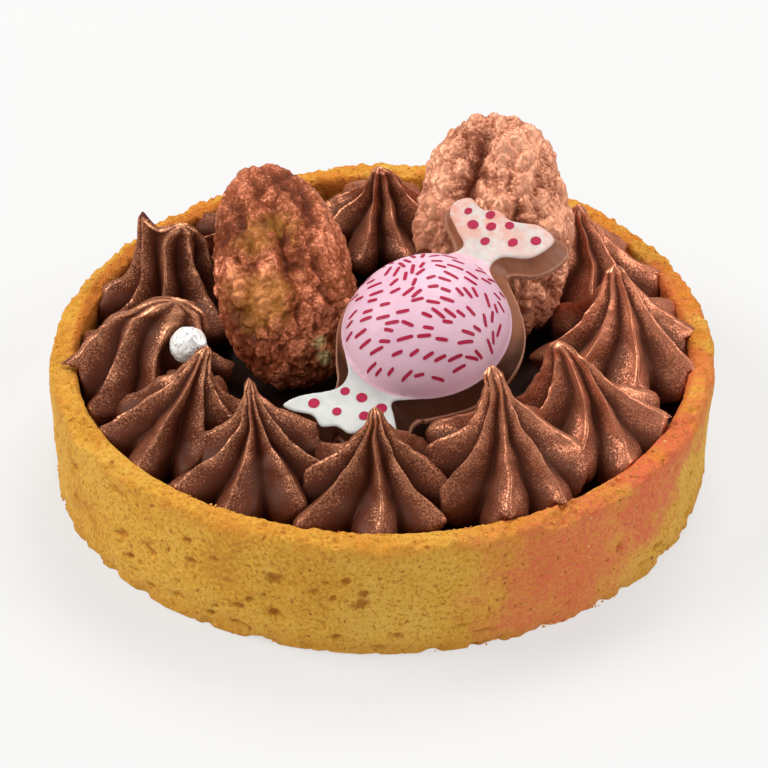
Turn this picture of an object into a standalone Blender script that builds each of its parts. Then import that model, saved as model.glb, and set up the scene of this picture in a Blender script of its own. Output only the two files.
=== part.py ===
"""A chocolate pecan tartlet: a straight-sided shortcrust shell, a dark ganache filling, a ring of twelve
piped ganache stars, two sugared pecan halves, a moulded chocolate in the shape of a wrapped sweet, and
one silvered sugar pearl.

Metres, +Z up.  The origin is at the middle of the flat underside.  -Y is the front of the tartlet.
"""

import math

import bmesh
import bpy
from mathutils import Matrix, Vector, noise
from mathutils.bvhtree import BVHTree

MM = 0.001
GAP = 0.3 * MM  # clearance between pieces that touch

# ---------------------------------------------------------------- driving dimensions
CRUST_RADIUS = 45.2 * MM  # outer radius at the rim
CRUST_HEIGHT = 17.4 * MM
CRUST_WALL = 3.6 * MM
CRUST_FLOOR = 3.0 * MM
CRUST_DRAFT = 0.2 * MM  # how much narrower the shell is at its foot
CRUST_SEGMENTS = 80
# The hand-lined shell is slightly oval and three-cornered: (lobes, share of the radius, direction).
OUT_OF_ROUND = ((2, 0.0248, math.radians(62.6)), (3, 0.0110, math.radians(-39.2)))

FILLING_TOP = 12.0 * MM
FILLING_MOUND = 1.2 * MM  # how much higher the filling stands in the middle

STAR_BASE = FILLING_TOP + GAP
STAR_RIDGES = 8  # teeth of the open star nozzle
STAR_STEPS = 4  # points from one ridge to the next
VALLEY_DEPTH = 0.42  # share of the radius
STAR_WIDEST = 0.30  # share of the height at which the petals bulge out most
STAR_TIP = 0.09  # share of the radius left at the peak
RIM_CLEAR = 0.6 * MM  # how far a petal hangs above the rim it lies across
RIM_SPILL = 3.0 * MM
# Name, direction on the ring (degrees), ring radius, star radius, height, lean inwards, lean sideways
# (all mm), twist and first ridge (degrees).
STARS = (
    ("star_front", 268, 31.4, 11.6, 16.0, 2.0, 0.3, 8, 2),
    ("star_front_right", 299, 31.4, 11.8, 18.2, 2.9, 0.2, 22, -30),
    ("star_right_front", 329, 31.4, 12.0, 15.9, 2.9, -1.4, 26, 14),
    ("star_right", 2, 32.0, 12.7, 15.9, 0.1, 1.6, 24, 0),
    ("star_right_back", 33, 31.6, 12.2, 15.9, 0.0, -0.2, 20, 8),
    ("star_back_right", 63, 31.2, 11.6, 18.8, 3.0, 0.0, 15, 0),
    ("star_back", 92, 31.2, 11.6, 14.6, 1.4, 0.0, 8, 20),
    ("star_back_left", 128, 31.2, 11.6, 17.0, 3.8, -0.6, 15, 10),
    ("star_left_back", 161, 31.8, 12.0, 14.6, 1.5, -2.1, -10, 18),
    ("star_left", 192, 32.2, 12.6, 14.6, 0.4, -0.8, -14, 6),
    ("star_left_front", 216, 32.0, 11.6, 14.6, 3.6, 0.9, 12, 22),
    ("star_front_left", 241, 31.4, 11.6, 15.2, 2.3, -2.0, 10, 12),
)

PECAN_THICKNESS = 9.0 * MM
# Name, lower end, upper end (mm), and width.
PECANS = (
    ("pecan_left", (-10.6, -6.7, 13.8), (-17.4, 19.9, 31.6), 19.0 * MM),
    ("pecan_right", (14.9, 4.4, 14.4), (14.5, 26.1, 37.3), 21.6 * MM),
)
PECAN_SEGMENTS = 24
PECAN_RINGS = 16

SWEET_CENTRE = Vector((5.6, -8.7, 25.2)) * MM  # middle of the oval body, in the plane of its face
SWEET_TILT = math.radians(20)  # the back is raised, so that it faces the front
SWEET_TURN = math.radians(52)  # its long axis, counted from +X in its own plane
SWEET_BODY = (11.8 * MM, 10.9 * MM)  # half length and half width
SWEET_DOME = 7.2 * MM
SWEET_THICKNESS = 2.6 * MM
SWEET_BRIM = 1.1 * MM
SWEET_BRIM_THICKNESS = 1.2 * MM
# Each wrapper end in the face's plan (mm, X along the sweet): where it leaves the body, half width
# there, its two corners, and how far the waved edge between them bulges.
SWEET_TAILS = (
    ("sweet_tail_low", (-9.6, -0.3), 3.5, (-15.9, -7.7), (-21.8, 6.4), 0.8),
    ("sweet_tail_high", (10.0, 2.3), 2.6, (18.2, 10.2), (21.6, -4.8), 1.6),
)

PEARL_RADIUS = 2.5 * MM
PEARL_CENTRE = Vector((-25.6, -10.9, 22.8)) * MM


# ---------------------------------------------------------------- helpers
def finish_object(name, bm, colour, roughness, metallic=0.0, smooth_angle=40):
    """Turns a bmesh into a named, shaded object with its own material."""
    bmesh.ops.remove_doubles(bm, verts=bm.verts, dist=1e-6)
    bmesh.ops.recalc_face_normals(bm, faces=bm.faces)
    mesh = bpy.data.meshes.new(name)
    bm.to_mesh(mesh)
    bm.free()
    mesh.shade_smooth()
    mesh.set_sharp_from_angle(angle=math.radians(smooth_angle))
    material = bpy.data.materials.new(name)
    material.use_nodes = True
    shader = material.node_tree.nodes["Principled BSDF"]
    shader.inputs["Base Color"].default_value = (*colour, 1.0)
    shader.inputs["Roughness"].default_value = roughness
    shader.inputs["Metallic"].default_value = metallic
    mesh.materials.append(material)
    thing = bpy.data.objects.new(name, mesh)
    bpy.context.scene.collection.objects.link(thing)
    return thing


def as_cutter(thing):
    thing.hide_render = True
    thing.display_type = "WIRE"
    return thing


def combine(thing, other, operation):
    """Joins the other body to the thing, or takes it away, and keeps the result as plain mesh."""
    change = thing.modifiers.new(other.name, "BOOLEAN")
    change.operation = operation
    change.solver = "EXACT"
    change.object = other
    graph = bpy.context.evaluated_depsgraph_get()
    result = bpy.data.meshes.new_from_object(thing.evaluated_get(graph))
    thing.modifiers.clear()
    thing.data = result


def bodies_meet(first, second):
    trees = []
    for thing in (first, second):
        bm = bmesh.new()
        bm.from_mesh(thing.data)
        trees.append(BVHTree.FromBMesh(bm))
        bm.free()
    return bool(trees[0].overlap(trees[1]))


def keep_largest(thing):
    """Drops crumbs that a cut has left loose."""
    bm = bmesh.new()
    bm.from_mesh(thing.data)
    groups = []
    waiting = set(bm.verts)
    while waiting:
        group = set()
        reached = {waiting.pop()}
        while reached:
            vert = reached.pop()
            group.add(vert)
            reached |= {edge.other_vert(vert) for edge in vert.link_edges} - group
        waiting -= group
        groups.append(group)
    largest = max(groups, key=len)
    bmesh.ops.delete(bm, geom=[v for v in bm.verts if v not in largest], context="VERTS")
    bm.to_mesh(thing.data)
    bm.free()


def turn_profile(bm, profile, segments):
    """Spins a list of (radius, height) points about Z into a closed skin; both ends lie on the axis."""
    points = [bm.verts.new((radius, 0.0, height)) for radius, height in profile]
    edges = [bm.edges.new(pair) for pair in zip(points, points[1:])]
    bmesh.ops.spin(
        bm,
        geom=points + edges,
        cent=(0, 0, 0),
        axis=(0, 0, 1),
        angle=math.tau,
        steps=segments,
        use_merge=True,
    )


def roundness(angle):
    """How much larger or smaller than a true circle the shell is in this direction."""
    return 1.0 + sum(share * math.cos(lobes * (angle - at)) for lobes, share, at in OUT_OF_ROUND)


def outline_centre():
    """The middle of the box round the shell's outline, so that the origin can be put there."""
    angles = [math.radians(degree) for degree in range(360)]
    xs = [CRUST_RADIUS * roundness(a) * math.cos(a) for a in angles]
    ys = [CRUST_RADIUS * roundness(a) * math.sin(a) for a in angles]
    return Vector(((max(xs) + min(xs)) / 2, (max(ys) + min(ys)) / 2, 0.0))


OUTLINE_CENTRE = outline_centre()


def make_uneven(bm, wobble):
    """Gives a turned shape the shell's uneven outline; wobble(co) is a further outward push."""
    for vert in bm.verts:
        radius = math.hypot(vert.co.x, vert.co.y)
        if radius < 1e-6:
            continue
        angle = math.atan2(vert.co.y, vert.co.x)
        push = 1.0 + (roundness(angle) - 1.0) * min(1.0, radius / CRUST_RADIUS)
        push += wobble(vert.co) / radius
        vert.co.x *= push
        vert.co.y *= push
        vert.co -= OUTLINE_CENTRE * min(1.0, radius / CRUST_RADIUS)


def inner_wall_radius(height):
    """The shell's inner radius, before it is made uneven."""
    top = CRUST_RADIUS - CRUST_WALL
    return top - 0.8 * MM * (1.0 - height / CRUST_HEIGHT)


# ---------------------------------------------------------------- shortcrust shell
def crust_profile():
    """Half section of the shell: underside, outer wall, crumbly rounded rim, inner wall, floor."""
    foot = CRUST_RADIUS - CRUST_DRAFT
    profile = [(0.0, 0.0), (foot - 0.3 * MM, 0.0), (foot, 0.3 * MM)]
    wall_rows = 4
    for row in range(1, wall_rows + 1):
        share = row / wall_rows
        height = 0.3 * MM + share * (CRUST_HEIGHT - 1.1 * MM)
        profile.append((foot + CRUST_DRAFT * share, height))
    profile.append((CRUST_RADIUS - 0.7 * MM, CRUST_HEIGHT - 0.1 * MM))
    profile.append((CRUST_RADIUS - 2.0 * MM, CRUST_HEIGHT))
    profile.append((inner_wall_radius(CRUST_HEIGHT) + 0.6 * MM, CRUST_HEIGHT - 0.15 * MM))
    profile.append((inner_wall_radius(CRUST_HEIGHT), CRUST_HEIGHT - 0.9 * MM))
    profile.append((inner_wall_radius(CRUST_FLOOR), CRUST_FLOOR))
    profile.append((0.0, CRUST_FLOOR))
    return profile


def make_crust():
    bm = bmesh.new()
    turn_profile(bm, crust_profile(), CRUST_SEGMENTS)

    def wobble(co):
        outside = math.hypot(co.x, co.y) > CRUST_RADIUS - CRUST_WALL / 2
        if not outside or co.z < 0.3 * MM:
            return 0.0
        dents = max(0.0, noise.noise(co * 260) - 0.25) * 1.4 * MM
        return noise.noise(co * 90) * 0.3 * MM - dents

    make_uneven(bm, wobble)
    for vert in bm.verts:
        if vert.co.z > CRUST_HEIGHT - 1.5 * MM:
            vert.co.z += noise.noise(vert.co * 150) * 0.35 * MM
    return finish_object("crust", bm, (0.62, 0.33, 0.08), 0.85)


# ---------------------------------------------------------------- filling
def make_filling():
    bm = bmesh.new()
    bottom = CRUST_FLOOR + GAP
    profile = [
        (0.0, bottom),
        (inner_wall_radius(bottom) - GAP - 0.2 * MM, bottom),
        (inner_wall_radius(FILLING_TOP) - GAP - 0.2 * MM, FILLING_TOP - 0.4 * MM),
        (inner_wall_radius(FILLING_TOP) - 1.2 * MM, FILLING_TOP),
        (inner_wall_radius(FILLING_TOP) * 0.44, FILLING_TOP - 0.2 * MM),
        (0.0, FILLING_TOP + FILLING_MOUND),
    ]
    turn_profile(bm, profile, CRUST_SEGMENTS // 2)
    make_uneven(bm, lambda co: 0.0)
    return finish_object("filling", bm, (0.05, 0.018, 0.01), 0.35)


# ---------------------------------------------------------------- piped stars
def star_centre(angle, ring_radius):
    """Where a star stands, on a ring that follows the shell's outline."""
    reach = ring_radius * (1.0 + (roundness(angle) - 1.0) * ring_radius / CRUST_RADIUS)
    centre = Vector((reach * math.cos(angle), reach * math.sin(angle)))
    return centre - OUTLINE_CENTRE.xy * ring_radius / CRUST_RADIUS


def wall_distance(start, direction, allowed):
    """How far a petal can grow from start before it has gone the allowed way from the middle."""
    reach = allowed
    for _ in range(12):
        tip = start + direction * reach + OUTLINE_CENTRE.xy
        limit = allowed * roundness(math.atan2(tip.y, tip.x))
        reach += limit - tip.length
    return max(reach, 0.5 * MM)


def soft_minimum(first, second, blend=0.35 * MM):
    """The smaller of two lengths, rounded where they are nearly equal, and never above either."""
    low = min(first, second)
    return low - blend * math.log(1.0 + math.exp(-abs(first - second) / blend))


def star_rows(height):
    """Heights of a star's outlines over its foot, with how far each one may lie across the rim."""
    shelf = CRUST_HEIGHT + RIM_CLEAR - STAR_BASE
    rows = [(0.0, 0.0), (1.7 * MM, 0.0), (shelf * 0.66, 0.0), (shelf, 0.0)]
    shelf += 0.4 * MM
    for share in (0.0, 0.16, 0.36, 0.58, 0.80, 1.0):
        rows.append((shelf + (height - shelf) * share, RIM_SPILL))
    return rows


def star_swell(share):
    """Radius of a star from foot to peak: tucked in below, bulging, then a hollow taper to the tip."""
    if share < STAR_WIDEST:
        return 1.0 - 0.16 * ((STAR_WIDEST - share) / STAR_WIDEST) ** 2
    rise = (share - STAR_WIDEST) / (1.0 - STAR_WIDEST)
    return STAR_TIP + (1.0 - STAR_TIP) * (1.0 - rise) ** 1.6


def star_point(star, level, spill, turn, before, after):
    """One point of a star's skin at a height over its foot, in the direction turn."""
    _, degrees, ring_radius, radius, height, lean_in, lean_side, twist, first = star
    share = level / (height * MM)
    angle = math.radians(degrees)
    outward = Vector((math.cos(angle), math.sin(angle)))
    sideways = Vector((-outward.y, outward.x))
    foot = star_centre(angle, ring_radius * MM)
    axis = foot + (sideways * lean_side - outward * lean_in) * MM * share**1.6

    position = turn * STAR_RIDGES / math.tau
    in_valley = 1.0 - abs((position % 1.0) * 2.0 - 1.0)  # 0 on a ridge, 1 in a valley
    petal_roundness = 1.8 - 0.9 * share  # broad lobes below, sharp crests near the peak
    reach = radius * MM * star_swell(share) * (1.0 - VALLEY_DEPTH * in_valley**petal_roundness)

    heading = angle + turn + math.radians(first + twist * share)
    direction = Vector((math.cos(heading), math.sin(heading)))
    allowed = inner_wall_radius(STAR_BASE + level) - GAP + spill
    reach = soft_minimum(reach, wall_distance(axis, direction, allowed))
    for other in (before, after):
        between = other - foot
        facing = direction.dot(between.normalized())
        if facing > 0.05:
            room = between.length / 2 - GAP / 2 - (axis - foot).dot(between.normalized())
            reach = max(soft_minimum(reach, room / facing), 0.2 * MM)
    point = axis + direction * reach
    return Vector((point.x, point.y, STAR_BASE + level))


def make_star(star, before, after):
    """Lofts the nozzle's star outline from foot to peak, shrinking and turning it as it rises."""
    bm = bmesh.new()
    count = STAR_RIDGES * STAR_STEPS
    rings = []
    for level, spill in star_rows(star[4] * MM):
        turns = [math.tau * step / count for step in range(count)]
        rings.append([bm.verts.new(star_point(star, level, spill, t, before, after)) for t in turns])
    loops = [
        [bm.edges.new((ring[i], ring[(i + 1) % count])) for i in range(count)] for ring in rings
    ]
    for lower, upper in zip(loops, loops[1:]):
        bmesh.ops.bridge_loops(bm, edges=lower + upper)
    for ring, lift in ((rings[0], 0.0), (rings[-1], 0.5 * MM)):
        middle = sum((vert.co for vert in ring), Vector()) / count
        pole = bm.verts.new(middle + Vector((0, 0, lift)))
        for i in range(count):
            bm.faces.new((ring[i], ring[(i + 1) % count], pole))
    return finish_object(star[0], bm, (0.13, 0.05, 0.03), 0.35, 0.3, 50)


def make_stars():
    feet = [star_centre(math.radians(star[1]), star[2] * MM) for star in STARS]
    count = len(STARS)
    for i, star in enumerate(STARS):
        make_star(star, feet[i - 1], feet[(i + 1) % count])


# ---------------------------------------------------------------- pecans
def pecan_place(lower, upper):
    """Length of a nut, and the turn that puts its axes (across, along, out of its dome) in place."""
    low, high = Vector(lower) * MM, Vector(upper) * MM
    along = (high - low).normalized()
    across = along.cross(Vector((0, 0, 1))).normalized()
    out = across.cross(along).normalized()
    turn = Matrix((across, along, out)).transposed().to_4x4()
    return (high - low).length, Matrix.Translation((low + high) / 2) @ turn


def pecan_point(unit, length, width, swell):
    """Shapes a unit ball (its poles are the two ends) to a plain nut, larger all round by swell."""
    across, out, along = unit
    thickness = PECAN_THICKNESS * (0.58 if out > 0 else 0.42)
    blunt = max(1.0 - along * along, 0.02) ** -0.1  # fuller ends than a plain ellipse
    return Vector(
        (
            across * blunt * (width / 2 * (1.0 - 0.10 * along) + swell),
            along * (length / 2 + swell),
            out * blunt * (thickness + swell) * (1.0 - 0.1 * along),
        )
    )


def make_pecan(name, lower, upper, width, colour):
    """A half nut under its sugar: domed, wider below, with two long grooves and a lumpy skin."""
    length, place = pecan_place(lower, upper)
    bm = bmesh.new()
    bmesh.ops.create_uvsphere(
        bm, u_segments=PECAN_SEGMENTS, v_segments=PECAN_RINGS, radius=1.0
    )
    for vert in bm.verts:
        across, out, along = vert.co
        lump = 0.93 + 0.06 * noise.noise(vert.co * 2.6 + Vector((width / MM, 0, 0)))
        point = pecan_point(vert.co, length, width, 0.0)
        point.x *= lump
        point.z *= lump
        if out > 0:
            for side in (-0.30, 0.34):
                groove = (across - side - 0.05 * math.sin(6.0 * along + 9.0 * side)) / 0.11
                point.z -= math.exp(-groove * groove) * 1.3 * MM * out * (1.0 - along**4)
        vert.co = point
    bmesh.ops.transform(bm, matrix=place, verts=bm.verts)
    return finish_object(name, bm, colour, 0.5, 0.35, 60)


def make_pecan_cutter(name, lower, upper, width, colour):
    """The plain nut, slightly larger, which presses its seat into the piped stars."""
    length, place = pecan_place(lower, upper)
    bm = bmesh.new()
    bmesh.ops.create_uvsphere(bm, u_segments=18, v_segments=12, radius=1.0)
    for vert in bm.verts:
        vert.co = pecan_point(vert.co, length, width, GAP + 0.15 * MM)
    bmesh.ops.transform(bm, matrix=place, verts=bm.verts)
    return as_cutter(finish_object(name + "_seat", bm, colour, 1.0))


# ---------------------------------------------------------------- moulded sweet
def sweet_place():
    """From the sweet's own plan (X along it, Z out of its face) to where it leans on the toppings."""
    lean = Matrix.Rotation(SWEET_TILT, 4, "X")
    turn = Matrix.Rotation(SWEET_TURN, 4, "Z")
    return Matrix.Translation(SWEET_CENTRE) @ lean @ turn


def bend(first, control, last, steps):
    """Points on a smooth bend from first to last, pulled towards control."""
    shares = [step / steps for step in range(steps + 1)]
    return [
        first * (1 - t) ** 2 + control * 2 * t * (1 - t) + last * t * t for t in shares
    ]


def tail_outline(neck, half, low, high, swell):
    """Plan of a twisted wrapper end: pinched neck, two corners, and a rippled edge between them."""
    middle = Vector((*neck, 0.0))
    low, high = Vector((*low, 0.0)), Vector((*high, 0.0))
    away = 1.0 if low.x > 0 else -1.0
    upper, lower = (high, low) if high.y > low.y else (low, high)
    sides = []
    for corner, facing in ((upper, 1), (lower, -1)):
        start = middle + Vector((0.0, facing * half, 0.0))
        control = Vector((middle.x + (corner.x - middle.x) * 0.40, middle.y + facing * half * 0.9, 0.0))
        sides.append(bend(start, control, corner, 4))
    edge = []
    for step in range(1, 9):
        t = step / 9
        point = upper.lerp(lower, t)
        point.x += away * (swell * math.sin(math.pi * t) - 0.5 + 0.7 * abs(math.sin(3 * math.pi * t)))
        edge.append(point)
    return [point * MM for point in sides[0] + edge + sides[1][::-1]]


def raise_plan(name, points, top, bottom, spread):
    """A slab with the given plan outline at height top, and a slightly wider one at height bottom."""
    bm = bmesh.new()
    face = bm.faces.new([bm.verts.new(point + Vector((0, 0, top))) for point in points])
    raised = bmesh.ops.extrude_face_region(bm, geom=[face])
    middle = sum(points, Vector()) / len(points)
    for vert in [item for item in raised["geom"] if isinstance(item, bmesh.types.BMVert)]:
        vert.co.z = bottom
        vert.co += (vert.co.xy - middle.xy).normalized().to_3d() * spread
    return finish_object(name, bm, (0.2, 0.08, 0.05), 0.4)


def oval_outline(half_length, half_width, count):
    turns = [math.tau * i / count for i in range(count)]
    return [Vector((half_length * math.cos(t), half_width * math.sin(t), 0.0)) for t in turns]


def make_sweet_slabs(swell):
    """The brim under the round body and the two wrapper ends, all larger by swell."""
    bottom = -SWEET_THICKNESS - swell
    wider = SWEET_BRIM + swell
    brim = oval_outline(SWEET_BODY[0] + wider, SWEET_BODY[1] + wider, 32)
    top = SWEET_BRIM_THICKNESS - SWEET_THICKNESS + swell
    slabs = [raise_plan("sweet_brim", brim, top, bottom, 0.0)]
    for name, neck, half, low, high, bulge in SWEET_TAILS:
        outline = tail_outline(neck, half, low, high, bulge)
        middle = sum(outline, Vector()) / len(outline)
        outline = [point + (point - middle).normalized() * swell for point in outline]
        slabs.append(raise_plan(name, outline, swell, bottom, 0.7 * MM))
    return slabs


def make_sweet():
    """A moulded chocolate: a domed round body on a thin brim, with a flat wrapper end on both sides."""
    bm = bmesh.new()
    bmesh.ops.create_uvsphere(bm, u_segments=32, v_segments=14, radius=1.0)
    for vert in bm.verts:
        height = SWEET_DOME if vert.co.z > 0 else SWEET_THICKNESS * 0.8
        vert.co = Vector((vert.co.x * SWEET_BODY[0], vert.co.y * SWEET_BODY[1], vert.co.z * height))
    sweet = finish_object("sweet", bm, (0.78, 0.5, 0.6), 0.45)
    slabs = make_sweet_slabs(0.0)
    for slab in slabs:
        combine(sweet, slab, "UNION")
        bpy.data.objects.remove(slab)
    sweet.data.transform(sweet_place())
    return sweet


def make_sweet_cutters():
    """Seats of the sweet in the soft stars: its brim and wrapper ends, slightly larger."""
    cutters = make_sweet_slabs(GAP + 0.05 * MM)
    for cutter in cutters:
        cutter.data.transform(sweet_place())
        as_cutter(cutter)
    return cutters


# ---------------------------------------------------------------- silvered sugar pearl
def make_pearl():
    bm = bmesh.new()
    bmesh.ops.create_uvsphere(bm, u_segments=12, v_segments=8, radius=PEARL_RADIUS)
    for vert in bm.verts:
        vert.co *= 1.0 + 0.05 * noise.noise(vert.co * 500)
    bmesh.ops.translate(bm, verts=bm.verts, vec=PEARL_CENTRE)
    return finish_object("silver_pearl", bm, (0.8, 0.8, 0.78), 0.35, 0.6)


def make_pearl_cutter():
    bm = bmesh.new()
    bmesh.ops.create_uvsphere(bm, u_segments=12, v_segments=8, radius=PEARL_RADIUS + GAP + 0.15 * MM)
    bmesh.ops.translate(bm, verts=bm.verts, vec=PEARL_CENTRE)
    return as_cutter(finish_object("silver_pearl_seat", bm, (1, 1, 1), 1.0))


# ---------------------------------------------------------------- the tartlet
for old in list(bpy.data.objects):
    bpy.data.objects.remove(old)

make_crust()
make_filling()
make_stars()
PECAN_COLOURS = ((0.42, 0.19, 0.12), (0.6, 0.32, 0.22))
for nut, nut_colour in zip(PECANS, PECAN_COLOURS):
    make_pecan(*nut, nut_colour)
make_sweet()
make_pearl()

seats = [make_pecan_cutter(*nut, nut_colour) for nut in PECANS]
seats += make_sweet_cutters()
seats.append(make_pearl_cutter())
for star in STARS:
    cream = bpy.data.objects[star[0]]
    for seat in seats:
        if bodies_meet(cream, seat):
            combine(cream, seat, "DIFFERENCE")
            keep_largest(cream)
for seat in seats:
    bpy.data.objects.remove(seat)
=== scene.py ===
"""A chocolate pecan tartlet: shortcrust shell, ganache filling, a ring of piped ganache stars dusted with
copper lustre, two sugared pecan halves, a moulded chocolate sweet and a silvered sugar pearl."""

import math
import random

import bmesh
import bpy
import numpy as np
from mathutils import Matrix, Vector, noise


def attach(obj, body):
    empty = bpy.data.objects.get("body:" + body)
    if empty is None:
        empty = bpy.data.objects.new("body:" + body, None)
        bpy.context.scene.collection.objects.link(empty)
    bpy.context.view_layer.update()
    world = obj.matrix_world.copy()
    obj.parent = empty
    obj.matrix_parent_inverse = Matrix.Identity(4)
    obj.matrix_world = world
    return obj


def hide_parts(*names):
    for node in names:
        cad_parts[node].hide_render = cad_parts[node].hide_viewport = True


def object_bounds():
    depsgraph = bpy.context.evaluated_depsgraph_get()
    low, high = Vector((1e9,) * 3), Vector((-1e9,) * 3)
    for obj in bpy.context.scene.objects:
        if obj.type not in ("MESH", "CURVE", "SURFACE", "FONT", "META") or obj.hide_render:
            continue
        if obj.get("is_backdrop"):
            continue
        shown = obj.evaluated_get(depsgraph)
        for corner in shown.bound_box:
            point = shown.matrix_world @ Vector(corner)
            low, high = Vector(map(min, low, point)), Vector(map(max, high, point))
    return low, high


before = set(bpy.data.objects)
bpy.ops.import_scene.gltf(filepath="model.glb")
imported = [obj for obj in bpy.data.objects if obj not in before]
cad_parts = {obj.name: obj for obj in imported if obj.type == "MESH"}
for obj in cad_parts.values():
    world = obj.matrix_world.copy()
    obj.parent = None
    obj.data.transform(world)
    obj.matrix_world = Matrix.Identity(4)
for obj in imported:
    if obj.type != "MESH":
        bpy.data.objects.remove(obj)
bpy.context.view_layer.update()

MM = 0.001
# One seed for the vector noise, so that each run gives the same waves and lumps.
noise.seed_set(28)

# ------------------------------------------------------------------ shortcrust shell
# A tartlet shell of golden shortcrust, lined into a ring by hand and baked blind: an almost upright wall
# with small air pits, a crumbly cut rim that browned more, and a foot that broke a little on the tray.
SHELL_RADIUS = 45.2 * MM
SHELL_HEIGHT = 17.4 * MM
SHELL_WALL = 3.6 * MM
SHELL_FOOT = SHELL_RADIUS - 0.2 * MM
UNDERSIDE_BAND = 3.0 * MM
WALL_BELOW_FILLING = 9.0 * MM
# How finely the shell is modelled: steps round it, and the spacing of its rings.
SHELL_STEPS = 860
SHELL_SPACING = 0.30 * MM
# How far the crumbly cut reaches down from the top, and the broken foot up from the bottom.
CUT_DEPTH = 1.2 * MM
BROKEN_FOOT = 1.6 * MM
CRUMB_LOSS = 1.7 * MM
PIT_COUNT = 90
CRACK_COUNT = 46
# Slightly oval and three-cornered: (lobes, share of the radius, direction).
OUT_OF_ROUND = ((2, 0.0248, math.radians(62.6)), (3, 0.0110, math.radians(-39.2)))


def roundness(angle):
    """How much larger or smaller than a true circle the shell is in this direction."""
    return 1.0 + sum(share * math.cos(lobes * (angle - at)) for lobes, share, at in OUT_OF_ROUND)


def outline_centre():
    """The middle of the box round the shell's outline."""
    angles = [math.radians(degree) for degree in range(360)]
    xs = [SHELL_RADIUS * roundness(a) * math.cos(a) for a in angles]
    ys = [SHELL_RADIUS * roundness(a) * math.sin(a) for a in angles]
    return Vector(((max(xs) + min(xs)) / 2, (max(ys) + min(ys)) / 2, 0.0))


OUTLINE_CENTRE = outline_centre()


def inner_wall_radius(height):
    """The shell's inner radius, before it is made uneven."""
    return SHELL_RADIUS - SHELL_WALL - 0.8 * MM * (1.0 - height / SHELL_HEIGHT)


def turned(profile, steps, spacing):
    """Turns a half section of (radius, height) points, refined to an even spacing, about Z."""
    section = []
    for first, last in zip(profile, profile[1:]):
        first, last = Vector(first), Vector(last)
        cuts = max(1, round((last - first).length / spacing))
        section += [first.lerp(last, cut / cuts) for cut in range(cuts)]
    section.append(Vector(profile[-1]))
    bm = bmesh.new()
    bmesh.ops.create_grid(bm, x_segments=steps, y_segments=len(section) - 1, size=1.0)
    for vert in bm.verts:
        turn = vert.co.x * math.pi
        radius, height = section[round((vert.co.y + 1.0) / 2.0 * (len(section) - 1))]
        vert.co = (radius * math.cos(turn), radius * math.sin(turn), height)
    bmesh.ops.remove_doubles(bm, verts=bm.verts, dist=1e-7)
    bmesh.ops.holes_fill(bm, edges=[e for e in bm.edges if e.is_boundary], sides=0)
    bmesh.ops.recalc_face_normals(bm, faces=bm.faces)
    return bm


def follow_shell(co, push):
    """Moves a turned point outwards by push and on to the shell's uneven outline."""
    radius = math.hypot(co.x, co.y)
    if radius < 1e-6:
        return
    angle = math.atan2(co.y, co.x)
    share = min(1.0, radius / SHELL_RADIUS)
    scale = 1.0 + (roundness(angle) - 1.0) * share + push / radius
    co.x = co.x * scale - OUTLINE_CENTRE.x * share
    co.y = co.y * scale - OUTLINE_CENTRE.y * share


def wall_hollows():
    """Air pits and low cracks of the wall: (direction, height, half width, half height, depth) of each."""
    rng = random.Random(5)
    hollows = []
    for _ in range(PIT_COUNT):
        turn = rng.gauss(230, 24) if rng.random() < 0.6 else rng.uniform(0, 360)
        wide = rng.uniform(0.32, 0.95) * rng.choice((1.0, 1.0, 1.5)) * MM
        tall = wide * rng.uniform(0.45, 0.85)
        hollows.append((turn, rng.uniform(1.6, 14.5) * MM, wide, tall, rng.uniform(0.25, 0.65) * MM))
    for _ in range(CRACK_COUNT):
        turn = rng.uniform(0, 360)
        wide = rng.uniform(0.8, 2.2) * MM
        hollows.append((turn, rng.uniform(0.8, 4.5) * MM, wide, rng.uniform(0.25, 0.5) * MM, 0.4 * MM))
    return hollows


def hollow_depth(points):
    """Depth of the pits and cracks at many points of the wall."""
    turns = np.arctan2(points[:, 1], points[:, 0])
    ragged = np.array([noise.noise(Vector(point) * 1000) for point in points]) * 0.75
    waver = np.array([noise.noise(Vector(point) * 240) for point in points]) * 0.9 * MM
    depth = np.zeros(len(points))
    for turn, height, wide, tall, deep in HOLLOWS:
        beside = (turns - math.radians(turn) + math.pi) % math.tau - math.pi
        above = points[:, 2] - height + waver
        away = np.hypot(beside * SHELL_RADIUS / wide, above / tall) + ragged
        depth = np.maximum(depth, deep * np.clip(1.0 - away**2, 0, 1) ** 0.7)
    return depth


HOLLOWS = wall_hollows()


def foot_loss(co):
    """How far crumbs broke off inwards at the foot of the wall."""
    bites = noise.noise(co * 110) * 0.6 + noise.fractal(co * 360, 0.8, 2.0, 2) * 0.8
    return max(0.0, bites) * CRUMB_LOSS


def wall_relief(co):
    """How far the outer wall stands out at a point: slow waves, dents, grain, and a foot that crumbled."""
    push = noise.noise(co * 90) * 0.30 * MM + noise.noise(co * 240) * 0.32 * MM
    push += noise.fractal(co * 640, 0.7, 2.1, 2) * 0.13 * MM
    return push - foot_loss(co) * max(0.0, 1.0 - co.z / BROKEN_FOOT)


def finish_mesh(name, bm, material, layers=None, sharp=180):
    """Makes the bmesh an object in the scene; layers holds a value per vertex for the finish to read."""
    mesh = bpy.data.meshes.new(name)
    bm.to_mesh(mesh)
    bm.free()
    for layer, values in (layers or {}).items():
        mesh.attributes.new(layer, "FLOAT", "POINT").data.foreach_set("value", values)
    mesh.shade_smooth()
    if sharp < 180:
        mesh.set_sharp_from_angle(angle=math.radians(sharp))
    mesh.materials.append(material)
    thing = bpy.data.objects.new(name, mesh)
    bpy.context.scene.collection.objects.link(thing)
    return thing


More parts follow.
